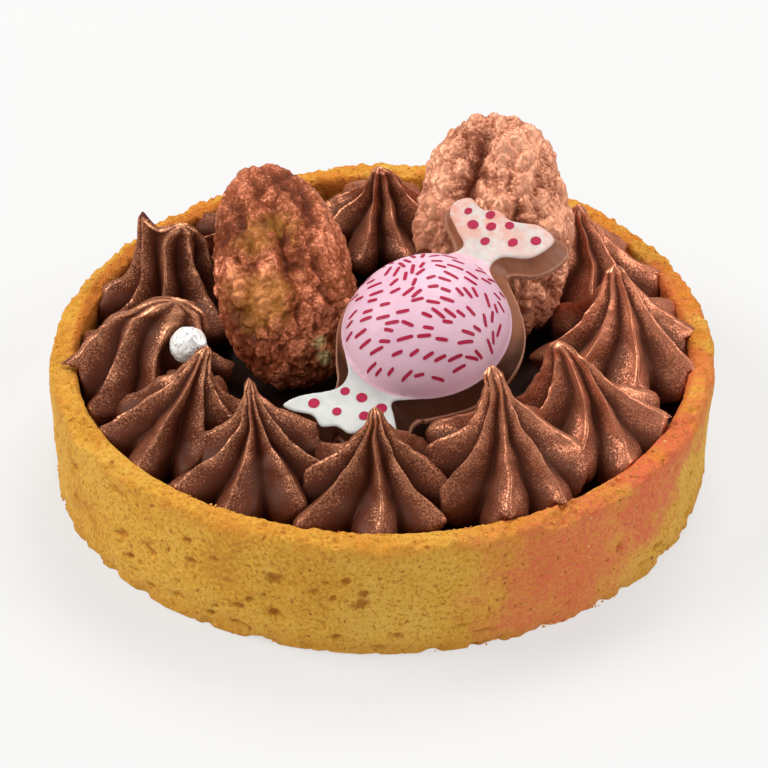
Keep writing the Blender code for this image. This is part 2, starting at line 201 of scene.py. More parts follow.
rim_inside = inner_wall_radius(SHELL_HEIGHT)
shell_profile = [
    (SHELL_FOOT - UNDERSIDE_BAND, 0.0),
    (SHELL_FOOT - 0.3 * MM, 0.0),
    (SHELL_FOOT, 0.3 * MM),
    (SHELL_RADIUS, SHELL_HEIGHT - 0.9 * MM),
    (SHELL_RADIUS - 0.25 * MM, SHELL_HEIGHT - 0.35 * MM),
    (SHELL_RADIUS - 0.7 * MM, SHELL_HEIGHT - 0.08 * MM),
    (SHELL_RADIUS - 2.0 * MM, SHELL_HEIGHT),
    (rim_inside + 0.5 * MM, SHELL_HEIGHT - 0.15 * MM),
    (rim_inside + 0.1 * MM, SHELL_HEIGHT - 0.6 * MM),
    (rim_inside, SHELL_HEIGHT - 1.3 * MM),
    (inner_wall_radius(WALL_BELOW_FILLING), WALL_BELOW_FILLING),
]
shell_bm = turned(shell_profile, SHELL_STEPS, SHELL_SPACING)
outside = [v for v in shell_bm.verts if v.co.xy.length > SHELL_RADIUS - SHELL_WALL / 2 and v.co.z > 0]
depths = dict(zip(outside, hollow_depth(np.array([tuple(v.co) for v in outside]))))
hollow_layer = [depths.get(vert, 0.0) / MM for vert in shell_bm.verts]
for vert in shell_bm.verts:
    if vert in depths:
        push = wall_relief(vert.co) - depths[vert]
    elif vert.co.z == 0.0:
        into_band = max(0.0, vert.co.xy.length - SHELL_FOOT + UNDERSIDE_BAND)
        push = -foot_loss(vert.co) * min(0.85, into_band / (2.8 * MM))
    else:
        push = (noise.noise(vert.co * 300) * 0.2 + noise.noise(vert.co * 900) * 0.1) * MM
        push *= min(1.0, vert.co.z / MM)
    top = max(0.0, 1.0 - (SHELL_HEIGHT - vert.co.z) / CUT_DEPTH)
    crumbs = noise.noise(vert.co * 330) * 0.30 + noise.fractal(vert.co * 900, 0.7, 2.0, 2) * 0.54
    chips = max(0.0, noise.noise(vert.co * 190 + Vector((3, 1, 7))) - 0.30) * 1.8
    follow_shell(vert.co, push * (1.0 - 0.5 * top) + crumbs * 0.5 * MM * top)
    vert.co.z += (crumbs - chips) * top * MM


def new_material(name, roughness, gloss=0.5):
    """A material, its nodes and its Principled shader."""
    material = bpy.data.materials.new(name)
    material.use_nodes = True
    shader = material.node_tree.nodes["Principled BSDF"]
    shader.inputs["Roughness"].default_value = roughness
    shader.inputs["Specular IOR Level"].default_value = gloss
    return material, material.node_tree, shader


def node(tree, kind, settings=None, **inputs):
    """Adds a node. An input given as a socket is linked, and any other value is set."""
    made = tree.nodes.new(kind)
    for name, value in (settings or {}).items():
        setattr(made, name, value)
    for name, value in inputs.items():
        socket = made.inputs[int(name[1:])] if name[0] == "_" else made.inputs[name.replace("_", " ")]
        if isinstance(value, bpy.types.NodeSocket):
            tree.links.new(value, socket)
        else:
            socket.default_value = value
    return made


def place(tree):
    """Where a point lies on the tartlet (m)."""
    return node(tree, "ShaderNodeTexCoord").outputs["Object"]


def layer_of(tree, name):
    """A layer's value, as finish_mesh stored it."""
    return node(tree, "ShaderNodeAttribute", {"attribute_name": name}).outputs["Fac"]


def ramp(tree, value, *stops):
    """A colour ramp: each stop is (position, colour)."""
    made = node(tree, "ShaderNodeValToRGB", Fac=value)
    elements = made.color_ramp.elements
    while len(elements) < len(stops):
        elements.new(0.5)
    for element, (position, colour) in zip(elements, stops):
        element.position = position
        element.color = (*colour, 1.0)
    return made.outputs["Color"]


def blend(tree, share, first, second, how="MIX"):
    """Mixes two colours by share."""
    first = (*first, 1.0) if isinstance(first, tuple) else first
    second = (*second, 1.0) if isinstance(second, tuple) else second
    mix = node(
        tree, "ShaderNodeMix", {"data_type": "RGBA", "blend_type": how}, _0=share, _6=first, _7=second
    )
    return mix.outputs[2]


def maths(tree, operation, first, second=0.0):
    """One sum, product or comparison of two values."""
    return node(tree, "ShaderNodeMath", {"operation": operation}, _0=first, _1=second).outputs[0]


def times(tree, first, second):
    """The product of two values."""
    return maths(tree, "MULTIPLY", first, second)


def span(tree, value, low, high, start=0.0, end=1.0):
    """A smooth step: start below low, end above high."""
    made = node(
        tree, "ShaderNodeMapRange", {"interpolation_type": "SMOOTHSTEP"},
        _0=value, _1=low, _2=high, _3=start, _4=end,
    )
    return made.outputs[0]


def mottle(tree, vector, scale, detail=4.0, roughness=0.55):
    """Cloudy noise from about 0.3 to 0.7."""
    made = node(
        tree, "ShaderNodeTexNoise", Vector=vector, Scale=scale, Detail=detail, Roughness=roughness
    )
    return made.outputs["Fac"]


def bump(tree, height, distance, strength=1.0):
    """Fine relief for light alone; distance is its depth."""
    made = node(tree, "ShaderNodeBump", Height=height, Distance=distance, Strength=strength)
    return made.outputs["Normal"]


def dress(tree, shader, colour, relief):
    """Gives a shader its colour and its fine relief."""
    tree.links.new(colour, shader.inputs["Base Color"])
    tree.links.new(relief, shader.inputs["Normal"])


def patches(tree, vector, spots, uneven):
    """Mask of soft patches with uneven edges: each spot is (place, reach) in mm, and its strength."""
    edge = maths(tree, "SUBTRACT", mottle(tree, vector, 170, 7, 0.75), 0.5)
    edge = times(tree, edge, uneven)
    mask = 0.0
    for spot, reach, strength in spots:
        centre = Vector(spot) * MM
        away = node(tree, "ShaderNodeVectorMath", {"operation": "DISTANCE"}, _0=vector, _1=centre)
        away = maths(tree, "ADD", away.outputs["Value"], edge)
        mask = maths(tree, "MAXIMUM", mask, span(tree, away, reach * MM, reach * 0.25 * MM, 0.0, strength))
    return mask


GOLDEN = (0.82, 0.410, 0.040)
PALE_CRUST = (0.92, 0.555, 0.095)
TOASTED = (0.62, 0.240, 0.024)
BROWNED_RIM = (0.80, 0.275, 0.030)
DARKER_INSIDE = (0.62, 0.165, 0.018)
PIT_PAINTED_SHADE = (0.54, 0.190, 0.024)
PINK_LUSTRE = (0.84, 0.155, 0.078)
# Where the lustre dust drifted on to the wall: place and reach (mm), and how thickly.
PINK_PATCHES = (
    ((24.0, -38.5, 9.5), 17.0, 0.90), ((34.5, -29.0, 13.5), 12.5, 1.0), ((38.8, -22.5, 17.2), 7.5, 0.85),
    ((42.6, -15.0, 16.4), 6.0, 0.60), ((42.5, -6.0, 17.2), 5.5, 0.50), ((40.5, 8.0, 17.2), 5.0, 0.40),
    ((37.0, 16.5, 17.2), 6.0, 0.55),
)
# Heights between which the rim browned, radii between which the inside of the wall turns darker, and the
# height up to which the foot toasted.
BROWNED_HEIGHTS = (14.6 * MM, 17.2 * MM)
INSIDE_RADII = (42.4 * MM, 41.4 * MM)
TOASTED_FOOT = 4.0 * MM
# Bran, burnt sugar and butter specks: how many to a metre, size, rarity and colour of each kind.
SPECKS = (
    (330, 0.14, 0.975, (0.16, 0.035, 0.015)),
    (900, 0.22, 0.74, (0.42, 0.095, 0.015)),
    (700, 0.13, 0.93, (0.95, 0.68, 0.26)),
)

crust_finish, tree, shader = new_material("baked_shortcrust", 0.72, 0.2)
at = place(tree)
colour = ramp(tree, mottle(tree, at, 75, 7, 0.7), (0.26, TOASTED), (0.43, GOLDEN), (0.72, PALE_CRUST))
fine = mottle(tree, at, 2000, 4, 0.7)
colour = blend(tree, span(tree, fine, 0.51, 0.64, 0.0, 1.0), colour, TOASTED)
colour = blend(tree, span(tree, fine, 0.47, 0.36, 0.0, 0.75), colour, PALE_CRUST)
axes = node(tree, "ShaderNodeSeparateXYZ", Vector=at)
flat = node(tree, "ShaderNodeCombineXYZ", X=axes.outputs[0], Y=axes.outputs[1])
radius = node(tree, "ShaderNodeVectorMath", {"operation": "LENGTH"}, Vector=flat.outputs[0])
rim = span(tree, axes.outputs[2], *BROWNED_HEIGHTS)
rim = times(tree, rim, span(tree, mottle(tree, at, 200, 4), 0.30, 0.64))
browned_side = maths(tree, "ADD", axes.outputs[0], axes.outputs[1])
rim = times(tree, rim, span(tree, browned_side, -36 * MM, 34 * MM, 0.50, 1.35))
colour = blend(tree, rim, colour, BROWNED_RIM)
inside = span(tree, radius.outputs["Value"], *INSIDE_RADII)
colour = blend(tree, times(tree, inside, 0.85), colour, DARKER_INSIDE)
hollow = layer_of(tree, "hollow")
# Painted shade: the pits and cracks are coloured a darker brown inside.
colour = blend(tree, span(tree, hollow, 0.05, 0.50, 0.0, 0.85), colour, PIT_PAINTED_SHADE)
low = span(tree, axes.outputs[2], TOASTED_FOOT, 0.0, 0.0, 0.45)
colour = blend(tree, low, colour, TOASTED)
dusted = patches(tree, at, PINK_PATCHES, 30 * MM)
dust_grain = span(tree, mottle(tree, at, 2400, 3, 0.7), 0.38, 0.58, 0.50, 1.0)
colour = blend(tree, times(tree, dusted, dust_grain), colour, PINK_LUSTRE)
wobble = node(tree, "ShaderNodeTexNoise", Vector=at, Scale=1100).outputs["Color"]
uneven = node(
    tree, "ShaderNodeVectorMath", {"operation": "MULTIPLY_ADD"}, _0=wobble, _1=(1.1 * MM,) * 3, _2=at
).outputs[0]
for to_metre, size, rarity, speck_colour in SPECKS:
    cells = node(tree, "ShaderNodeTexVoronoi", Vector=uneven, Scale=to_metre)
    speck = maths(tree, "LESS_THAN", cells.outputs["Distance"], size)
    draw = node(tree, "ShaderNodeSeparateColor", Color=cells.outputs["Color"]).outputs[0]
    speck = times(tree, speck, maths(tree, "GREATER_THAN", draw, rarity))
    colour = blend(tree, times(tree, speck, 0.7), colour, speck_colour)
fine_grain = times(tree, mottle(tree, at, 2600, 3), 0.35)
grain = maths(tree, "ADD", mottle(tree, at, 900, 6, 0.7), fine_grain)
dress(tree, shader, colour, bump(tree, grain, 0.8 * MM))

shell = finish_mesh("shortcrust_shell", shell_bm, crust_finish, {"hollow": hollow_layer})
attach(shell, "root")
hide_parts("crust")

# Loose crumbs of the cut edge and the foot still cling to the shell.
CRUMB_COUNT = 720
CRUMBS_ON_RIM = 0.85

rng = random.Random(21)
bm = bmesh.new()
for _ in range(CRUMB_COUNT):
    turn = rng.uniform(0, math.tau)
    at_rim = rng.random() < CRUMBS_ON_RIM
    size = rng.uniform(0.08, 0.20) * MM
    if at_rim:
        reach = SHELL_RADIUS - rng.uniform(0.5, 3.2) * MM
        height = SHELL_HEIGHT - rng.uniform(0.05, 0.25) * MM
    else:
        reach = SHELL_RADIUS - rng.uniform(0.25, 0.5) * MM
        height = size * 1.3 + rng.uniform(0.0, 0.5) * MM
    made = bmesh.ops.create_icosphere(bm, subdivisions=1, radius=size)["verts"]
    spot = Vector((reach * math.cos(turn), reach * math.sin(turn), height))
    follow_shell(spot, 0.0)
    for vert in made:
        vert.co *= rng.uniform(0.75, 1.25)
    bmesh.ops.translate(bm, verts=made, vec=spot)
crumb_finish, tree, shader = new_material("loose_crumbs", 0.8)
at = place(tree)
colour = ramp(tree, mottle(tree, at, 400, 2), (0.40, (0.66, 0.24, 0.030)), (0.60, (0.86, 0.41, 0.060)))
dress(tree, shader, colour, bump(tree, mottle(tree, at, 4000, 2), 0.1 * MM, 0.5))
crumbs = finish_mesh("shell_crumbs", bm, crumb_finish)
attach(crumbs, "root")

# ------------------------------------------------------------------ ganache filling
# Dark chocolate ganache poured into the shell, level with small swells where it set.
FILLING_TOP = 12.0 * MM
FILLING_BOTTOM = 3.3 * MM
FILLING_STEPS = 180
FILLING_SPACING = 1.2 * MM

poured_to = inner_wall_radius(FILLING_TOP)
filling_profile = [
    (0.0, FILLING_BOTTOM),
    (poured_to - 0.4 * MM, FILLING_BOTTOM),
    (poured_to - 0.3 * MM, FILLING_TOP),
    (poured_to * 0.44, FILLING_TOP - 0.2 * MM),
    (0.0, FILLING_TOP + 1.2 * MM),
]
filling_bm = turned(filling_profile, FILLING_STEPS, FILLING_SPACING)
for vert in filling_bm.verts:
    follow_shell(vert.co, 0.0)
    if vert.co.z > FILLING_TOP - 1.0 * MM:
        vert.co.z += noise.noise(vert.co * 120) * 0.35 * MM

ganache_finish, tree, shader = new_material("dark_ganache", 0.42, 0.12)
at = place(tree)
colour = ramp(tree, mottle(tree, at, 160), (0.3, (0.012, 0.004, 0.003)), (0.7, (0.045, 0.015, 0.008)))
dress(tree, shader, colour, bump(tree, mottle(tree, at, 420, 3), 0.25 * MM, 0.5))

filling = finish_mesh("ganache_filling", filling_bm, ganache_finish)
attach(filling, "root")
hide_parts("filling")

# ------------------------------------------------------------------ piped stars
# Twelve stars of whipped ganache, each one squeezed from an open star nozzle with eight teeth, turned
# a little and drawn off to a peak. Their petals lie against the shell, at the sides over its rim.
STAR_BASE = FILLING_TOP + 0.1 * MM
STAR_RIDGES = 8
STAR_WIDEST = 0.30
STAR_TIP = 0.065
STAR_RIDGE_STEPS = 20
STAR_RINGS = 104
# Shares of the way from foot to tip that close the star below and above.
FOOT_CLOSES = 0.10
TIP_CLOSES = 0.05
VALLEY_DEPTH = 0.52
CREST_WIDTH = 0.11
# The small knob that the nozzle leaves when it is drawn off: its place, reach and size, all as shares.
KNOB_AT = 0.94
KNOB_REACH = 0.05
KNOB_SIZE = 0.16
RIM_SPILL = 3.0 * MM
NEIGHBOUR_OVERLAP = 0.8 * MM
# Where the bag was torn away sideways, one end of the comb is drawn out to a horn.
HORNS = {"star_left_back": Vector((-0.9, 0.9, 2.6)) * MM}
HORN_STARTS = 0.45
# Name, direction on the ring (degrees), ring radius, star radius, height, lean inwards, lean sideways
# (all mm), twist and first ridge (degrees), how far the drawn-off tip hooks over (mm, x and y), and the
# comb it was smeared into: direction (degrees), half length (mm), slope, and height of its ends (mm).
STARS = (
    ("star_front", 268, 31.4, 11.6, 16.0, 2.0, 0.3, 8, 2, (-0.5, -0.4), (20, 0.2, 0.0, 0.0)),
    ("star_front_right", 299, 31.4, 11.8, 18.2, 2.9, 0.2, 22, -30, (-0.2, 0.0), (-30, 0.4, 0.0, 0.0)),
    ("star_right_front", 329, 31.4, 12.0, 15.9, 2.9, -1.4, 26, 14, (-0.9, 0.4), (150, 1.4, -0.5, 0.0)),
    ("star_right", 2, 32.0, 12.7, 15.9, 0.1, 1.6, 24, 0, (-0.6, 0.2), (10, 0.5, 0.0, 0.0)),
    ("star_right_back", 33, 31.6, 12.2, 15.9, 0.0, -0.2, 20, 8, (-0.8, 0.6), (60, 0.8, 0.0, 0.2)),
    ("star_back_right", 63, 31.2, 11.6, 18.8, 3.0, 0.0, 15, 0, (0.0, 0.0), (0, 0.3, 0.0, 0.0)),
    ("star_back", 92, 31.2, 11.6, 14.6, 1.4, 0.0, 8, 20, (0.0, 0.2), (10, 1.0, 0.0, 0.4)),
    ("star_back_left", 128, 31.2, 11.6, 17.0, 3.8, -0.6, 15, 10, (0.0, 0.0), (40, 0.6, 0.0, 0.0)),
    ("star_left_back", 161, 31.8, 12.0, 14.6, 1.5, -2.1, -10, 18, (-0.6, 0.4), (12, 2.8, -0.35, 1.4)),
    ("star_left", 192, 32.2, 12.6, 14.6, 0.4, -0.8, -14, 6, (3.8, -0.6), (-8, 4.6, -0.16, -1.6)),
    ("star_left_front", 216, 32.0, 11.6, 14.6, 3.6, 0.9, 12, 22, (0.2, 0.3), (60, 0.3, 0.0, 0.0)),
    ("star_front_left", 241, 31.4, 11.6, 15.2, 2.3, -2.0, 10, 12, (-1.3, 0.6), (95, 0.9, 0.0, 0.0)),
)


def star_centre(angle, ring_radius):
    """Where a star stands, on a ring that follows the shell's outline."""
    reach = ring_radius * (1.0 + (roundness(angle) - 1.0) * ring_radius / SHELL_RADIUS)
    centre = Vector((reach * math.cos(angle), reach * math.sin(angle)))
    return centre - OUTLINE_CENTRE.xy * ring_radius / SHELL_RADIUS


def wall_distance(start, direction, allowed):
    """How far a petal can grow from start before it has gone the allowed way from the middle."""
    reach = allowed
    for _ in range(8):
        tip = start + direction * reach + OUTLINE_CENTRE.xy
        limit = allowed * roundness(math.atan2(tip.y, tip.x))
        reach += limit - tip.length
    return max(reach, 0.5 * MM)


def soft_minimum(first, second, softness=0.35 * MM):
    """The smaller of two lengths, rounded where they are nearly equal."""
    return min(first, second) - softness * math.log(1.0 + math.exp(-abs(first - second) / softness))


def star_swell(share):
    """Radius of a star from foot to peak: tucked in below, a rounded belly, then a hollow taper."""
    rise = (share - STAR_WIDEST) / (1.0 - STAR_WIDEST)
    taper = STAR_TIP + (1.0 - STAR_TIP) * max(0.0, 1.0 - rise) ** 1.85
    belly = 1.0 - 0.20 * (max(0.0, STAR_WIDEST + 0.08 - share) / STAR_WIDEST) ** 2
    return soft_minimum(taper, belly, 0.055)


def smooth_step(value, low, high):
    """0 below low, 1 above high, with a soft passage between."""
    share = min(1.0, max(0.0, (value - low) / (high - low)))
    return share * share * (3.0 - 2.0 * share)


def star_skin(star, around, up, petals, rooms):
    """Place and lustre of a point of the skin: around is its turn, and up runs from foot to tip. The
    lustre sets how thickly the dust lies, and where it is low the bare colour is painted darker as shade.
    """
    name, degrees, ring_radius, radius, height, lean_in, lean_side, twist, first, hook, comb = star
    share = max(0.0, (up - FOOT_CLOSES) / (1.0 - FOOT_CLOSES))
    level = share * height * MM
    angle = math.radians(degrees)
    outward = Vector((math.cos(angle), math.sin(angle)))
    sideways = Vector((-outward.y, outward.x))
    foot = star_centre(angle, ring_radius * MM)
    axis = foot + (sideways * lean_side - outward * lean_in) * MM * share**1.6
    axis += Vector(hook) * MM * smooth_step(share, 0.45, 1.05)

    position = around * STAR_RIDGES / math.tau
    petal = petals[round(position) % STAR_RIDGES]
    in_valley = (math.hypot(abs(position - round(position)) * 2.0, CREST_WIDTH) - CREST_WIDTH) / (
        math.hypot(1.0, CREST_WIDTH) - CREST_WIDTH
    )
    flare = 1.0 - smooth_step(share, 0.04, 0.40)
    cut = VALLEY_DEPTH * (1.0 - smooth_step(share, 0.84, 1.0)) * (1.0 - 0.48 * flare)
    crest = 1.0 - in_valley
    spread = crest * (1.0 - share)
    reach = radius * MM * star_swell(share) * (1.0 + petal[0] * spread)
    reach *= 1.0 + KNOB_SIZE * math.exp(-(((share - KNOB_AT) / KNOB_REACH) ** 2))
    reach *= 1.0 - cut * in_valley ** (0.52 + petal[2] * flare)

    heading = angle + around + math.radians(first + twist * share + petal[1] * spread)
    direction = Vector((math.cos(heading), math.sin(heading)))
    reach *= 1.0 + 0.14 * max(0.0, direction.dot(outward)) * (1.0 - share)
    over_rim = min(1.0, max(0.0, (STAR_BASE + level - SHELL_HEIGHT - 0.15 * MM) / (0.5 * MM)))
    allowed = inner_wall_radius(STAR_BASE + level) - 0.1 * MM + RIM_SPILL * over_rim**0.5
    reach = soft_minimum(reach, wall_distance(axis, direction, allowed))
    for between, room in rooms:
        facing = direction.dot(between)
        if facing > 0.05:
            free = room - (axis - foot).dot(between) + NEIGHBOUR_OVERLAP
            reach = max(soft_minimum(reach, free / facing), 0.2 * MM)

    rough = Vector((axis.x + direction.x * reach, axis.y + direction.y * reach, level))
    torn = noise.fractal(rough * 620, 0.8, 2.0, 2) * 0.16 * (0.5 + crest)
    ragged = noise.noise(rough * 260) * 0.28 + torn
    reach += ragged * MM * min(1.0, reach / (3.0 * MM))
    reach *= min(1.0, up / FOOT_CLOSES) * min(1.0, (1.0 - up) / TIP_CLOSES) ** 0.6
    comb_angle, comb_length, comb_slope, comb_ends = comb
    comb_way = Vector((math.cos(math.radians(comb_angle)), math.sin(math.radians(comb_angle))))
    along = direction.dot(comb_way) * smooth_step(share, 0.35, 0.85) * min(1.0, (1.0 - up) / 0.15) ** 0.6
    point = axis + direction * reach + comb_way * along * comb_length * MM
    lift = along * comb_length * comb_slope + abs(along) ** 3 * comb_ends
    skin = Vector((point.x, point.y, STAR_BASE + level + lift * MM))
    into_horn = max(0.0, (-along - HORN_STARTS) / (1.0 - HORN_STARTS))
    skin += HORNS.get(name, Vector()) * into_horn**2
    skin += noise.noise_vector(rough * 105) * 1.35 * MM * smooth_step(share, 0.05, 0.5)
    skin += noise.noise_vector(rough * 310) * 0.38 * MM * smooth_step(share, 0.05, 0.3)
    smeared = 0.12 + 0.16 * comb_length
    skin += noise.noise_vector(rough * 480) * smeared * MM * smooth_step(share, 0.7, 0.95)
    # Lustre: high on the crests, where the dust lies, and low in the valleys, where the finish paints
    # shade.
    lustre = crest**1.3 * (0.45 + 0.55 * share) + 0.35 * smooth_step(share, 0.75, 1.0)
    return skin, lustre


def lustre_dust_group():
    """Metallic dust that clings to the proud parts of a dark surface, in grains and worn patches."""
    tree = bpy.data.node_groups.new("lustre_dust", "ShaderNodeTree")
    for way, name, kind in (
        ("INPUT", "Bare", "NodeSocketColor"), ("INPUT", "Dust", "NodeSocketColor"),
        ("INPUT", "Cover", "NodeSocketFloat"), ("INPUT", "Grain", "NodeSocketFloat"),
        ("INPUT", "Shine", "NodeSocketFloat"), ("OUTPUT", "Color", "NodeSocketColor"),
        ("OUTPUT", "Metal", "NodeSocketFloat"), ("OUTPUT", "Height", "NodeSocketFloat"),
    ):
        tree.interface.new_socket(name, in_out=way, socket_type=kind)
    given = tree.nodes.new("NodeGroupInput").outputs
    at = place(tree)
    worn = mottle(tree, at, 320, 4)
    grains = mottle(tree, at, given["Grain"], 2, 0.6)
    amount = given["Cover"]
    for cloud, weight in ((worn, 0.9), (grains, 2.4)):
        uneven = times(tree, maths(tree, "SUBTRACT", cloud, 0.5), weight)
        amount = maths(tree, "ADD", amount, uneven)
    amount = span(tree, amount, 0.05, 1.0)
    shown = tree.nodes.new("NodeGroupOutput").inputs
    tree.links.new(blend(tree, amount, given["Bare"], given["Dust"]), shown["Color"])
    tree.links.new(times(tree, amount, given["Shine"]), shown["Metal"])
    tree.links.new(grains, shown["Height"])
    return tree


lustre_dust = lustre_dust_group()
# Painted shade: the bare creases of a dusted surface are painted darker, by these shares of its red, green
# and blue.
CREASE_PAINTED_SHADE = (0.42, 0.33, 0.30)
# Between these places the drift of the dust grows, across the tartlet to the side it was blown on from.
DRIFT_SPAN = (-24 * MM, 30 * MM)
DRIFT_COVER = 0.36
DRIFT_ON_BARE = 0.11


def dusted_finish(
    name, bare, dust, grain, roughness, bump_depth, cover_by, shine=0.75, drift=None, stains_and_shade=()
):
    """A dark confection under lustre dust; cover_by is a layer, and the dust's cover where it is 0 and 1.
    The bare surface is painted darker where the layer is low: painted shade in the creases. With drift, a
    colour, the dust is thicker and of that colour towards the side it was blown on from, +X and a little
    +Y. The patches of the last argument have no dust: some are real stains, some painted shade. Each is
    (spots, unevenness, colour)."""
    material, tree, shader = new_material(name, roughness, 0.18)
    shader.inputs["Specular Tint"].default_value = (1.0, 0.72, 0.58, 1)
    layer, low, high = cover_by
    layer = layer_of(tree, layer)
    cover = node(tree, "ShaderNodeMapRange", _0=layer, _3=low, _4=high).outputs[0]
    # Painted shade: the bare colour is painted darker in the creases, where the layer is low.
    deep = tuple(channel * share for channel, share in zip(bare, CREASE_PAINTED_SHADE))
    bare_with_painted_shade = ramp(tree, layer, (0.0, deep), (0.45, bare))
    if drift:
        axes = node(tree, "ShaderNodeSeparateXYZ", Vector=place(tree)).outputs
        across = maths(tree, "ADD", axes[0], times(tree, axes[1], 0.32))
        windward = span(tree, across, *DRIFT_SPAN)
        cover = maths(tree, "ADD", cover, times(tree, windward, DRIFT_COVER))
        dust = blend(tree, windward, dust, drift)
        bare_with_painted_shade = blend(tree, times(tree, windward, DRIFT_ON_BARE), bare_with_painted_shade, drift)
    else:
        dust = (*dust, 1)
    dusting = node(
        tree, "ShaderNodeGroup", {"node_tree": lustre_dust},
        Bare=bare_with_painted_shade, Dust=dust, Cover=cover, Grain=grain, Shine=shine,
    )
    colour, metal = dusting.outputs["Color"], dusting.outputs["Metal"]
    # Each patch loses its dust and takes its colour; some are real stains, some painted shade.
    for spots, uneven, patch_colour in stains_and_shade:
        mask = patches(tree, place(tree), spots, uneven)
        colour = blend(tree, mask, colour, patch_colour)
        metal = times(tree, metal, maths(tree, "SUBTRACT", 1.0, mask))
    tree.links.new(metal, shader.inputs["Metallic"])
    matt = span(tree, metal, 0.0, shine, roughness + 0.12, roughness)
    tree.links.new(matt, shader.inputs["Roughness"])
    dress(tree, shader, colour, bump(tree, dusting.outputs["Height"], bump_depth, 0.6))
    return material


cream_finish = dusted_finish(
    "copper_dusted_ganache", (0.118, 0.029, 0.013), (0.64, 0.272, 0.145), 4400, 0.34, 0.05 * MM,
    ("lustre", -0.50, 0.82), drift=(0.72, 0.262, 0.145),
)
feet = [star_centre(math.radians(star[1]), star[2] * MM) for star in STARS]
for i, star in enumerate(STARS):
    rng = random.Random(star[0])
    petals = [
        (rng.uniform(-0.13, 0.13), rng.uniform(-11, 11), rng.uniform(1.3, 3.6)) for _ in range(STAR_RIDGES)
    ]
    neighbours = [feet[i - 1] - feet[i], feet[(i + 1) % len(STARS)] - feet[i]]
    rooms = [(between.normalized(), between.length / 2) for between in neighbours]
    bm = bmesh.new()
    around_steps = STAR_RIDGES * STAR_RIDGE_STEPS
    bmesh.ops.create_uvsphere(bm, u_segments=around_steps, v_segments=STAR_RINGS, radius=1.0)
    dust_and_crease_shade = []
    for vert in bm.verts:
        up = math.acos(max(-1.0, min(1.0, -vert.co.z))) / math.pi
        vert.co, lustre = star_skin(star, math.atan2(vert.co.y, vert.co.x), up, petals, rooms)
        dust_and_crease_shade.append(lustre)
    piped = finish_mesh("piped_" + star[0], bm, cream_finish, {"lustre": dust_and_crease_shade})
    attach(piped, "root")
    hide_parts(star[0])

# ------------------------------------------------------------------ sugared pecan halves
# Two pecan halves rolled in boiled sugar and dusted: domed, with the nut's long lobes still showing
# through a knobbly crust. They lean back on the stars behind them.
PECAN_THICKNESS = 9.0 * MM
# Shares of the thickness above and below the nut's middle.
DOME_SHARE = 0.58
BACK_SHARE = 0.42
GROOVE_WIDTH = 0.10
PECAN_STEPS = 330
PECAN_RINGS = 280
# Name, lower end, upper end (mm), width, depth and fineness of the sugar's knobs, and the nut's grooves
# as (place across at the middle, slant, depth).
PECANS = (
    (
        "pecan_left", (-10.6, -6.7, 13.8), (-17.4, 19.9, 31.6), 19.0 * MM, 0.62 * MM, 430,
        ((-0.55, 0.10, 0.8 * MM), (-0.02, -0.16, 1.2 * MM), (0.52, -0.06, 0.9 * MM)),
    ),
    (
        "pecan_right", (14.9, 4.4, 14.4), (14.5, 26.1, 37.3), 21.6 * MM, 0.95 * MM, 340,
        ((-0.36, 0.24, 1.5 * MM), (0.22, 0.05, 0.5 * MM), (0.62, -0.05, 0.5 * MM)),
    ),
)


def pecan_place(lower, upper):
    """Length of a nut, and the turn that puts its axes (across, along, out of its dome) in place."""
    low, high = Vector(lower) * MM, Vector(upper) * MM
    along = (high - low).normalized()
    across = along.cross(Vector((0, 0, 1))).normalized()
    out = across.cross(along).normalized()
    turn = Matrix((across, along, out)).transposed().to_4x4()
    return (high - low).length, Matrix.Translation((low + high) / 2) @ turn


def pecan_skin(unit, length, width, knobs, fineness, grooves, seed):
    """Shapes a point of a unit ball (its poles are the nut's ends), and says how proud it stands."""
    across, out, along = unit
    blunt = max(1.0 - along * along, 0.02) ** -0.1
    thickness = PECAN_THICKNESS * (DOME_SHARE if out > 0 else BACK_SHARE)
    point = Vector(
        (
            across * blunt * width / 2 * (1.0 - 0.10 * along),
            along * length / 2,
            out * blunt * thickness * (1.0 - 0.1 * along),
        )
    )
    groove = 0.0
    for side, slant, depth in grooves:
        line = side + slant * along + 0.05 * math.sin(6.0 * along + 9.0 * side)
        groove += depth * math.exp(-(((across - line) / GROOVE_WIDTH) ** 2))
    groove *= max(0.0, out) ** 0.5 * (1.0 - along**6)
    grown = Vector((point.x, point.y * 0.7, point.z)) * fineness
    lumps = noise.noise(grown * 0.45 + seed)
    knob = abs(noise.noise(grown + seed)) * 2.4 - 0.6
    cell = noise.voronoi(grown * 1.15 + noise.noise_vector(grown * 2.0) * 0.35 + seed)[0]
    cobble = min(1.0, (cell[1] - cell[0]) * 2.2) ** 0.7 - 0.6
    grit = noise.fractal(grown * 4.2 + seed, 0.6, 2.0, 2)
    pit = max(0.0, noise.noise(grown * 1.3 + seed * 2) - 0.25)
    stand = lumps * 1.1 + knob * 0.42 + cobble * 0.62 + grit * 0.22 - pit * 1.5
    point += Vector((unit.x, unit.z, unit.y)).normalized() * (stand * knobs - groove)
    # The proud value is low in hollows and grooves, where the finish paints shade.
    return point, 0.5 + stand * 0.5 - groove / MM * 0.3


# Where the nut shows through the sugar of the left pecan: place and reach (mm), and how plainly.
OCHRE_PATCHES = (
    ((-16.5, -1.0, 24.0), 6.0, 0.55), ((-18.0, 6.0, 28.0), 4.0, 0.45), ((-13.5, 8.0, 29.2), 3.0, 0.6),
)
BARE_KERNEL = (((-8.5, -4.4, 19.6), 1.5, 1.0), ((-7.9, -5.4, 17.6), 1.5, 1.0))
# Painted shade on the right pecan, low down behind the sweet and on its left flank: darker, without the
# dust's metal.
RIGHT_PECAN_PAINTED_SHADE = (((4.5, 12.0, 24.0), 8.5, 0.60), ((16.0, 4.0, 16.0), 10.0, 0.75))

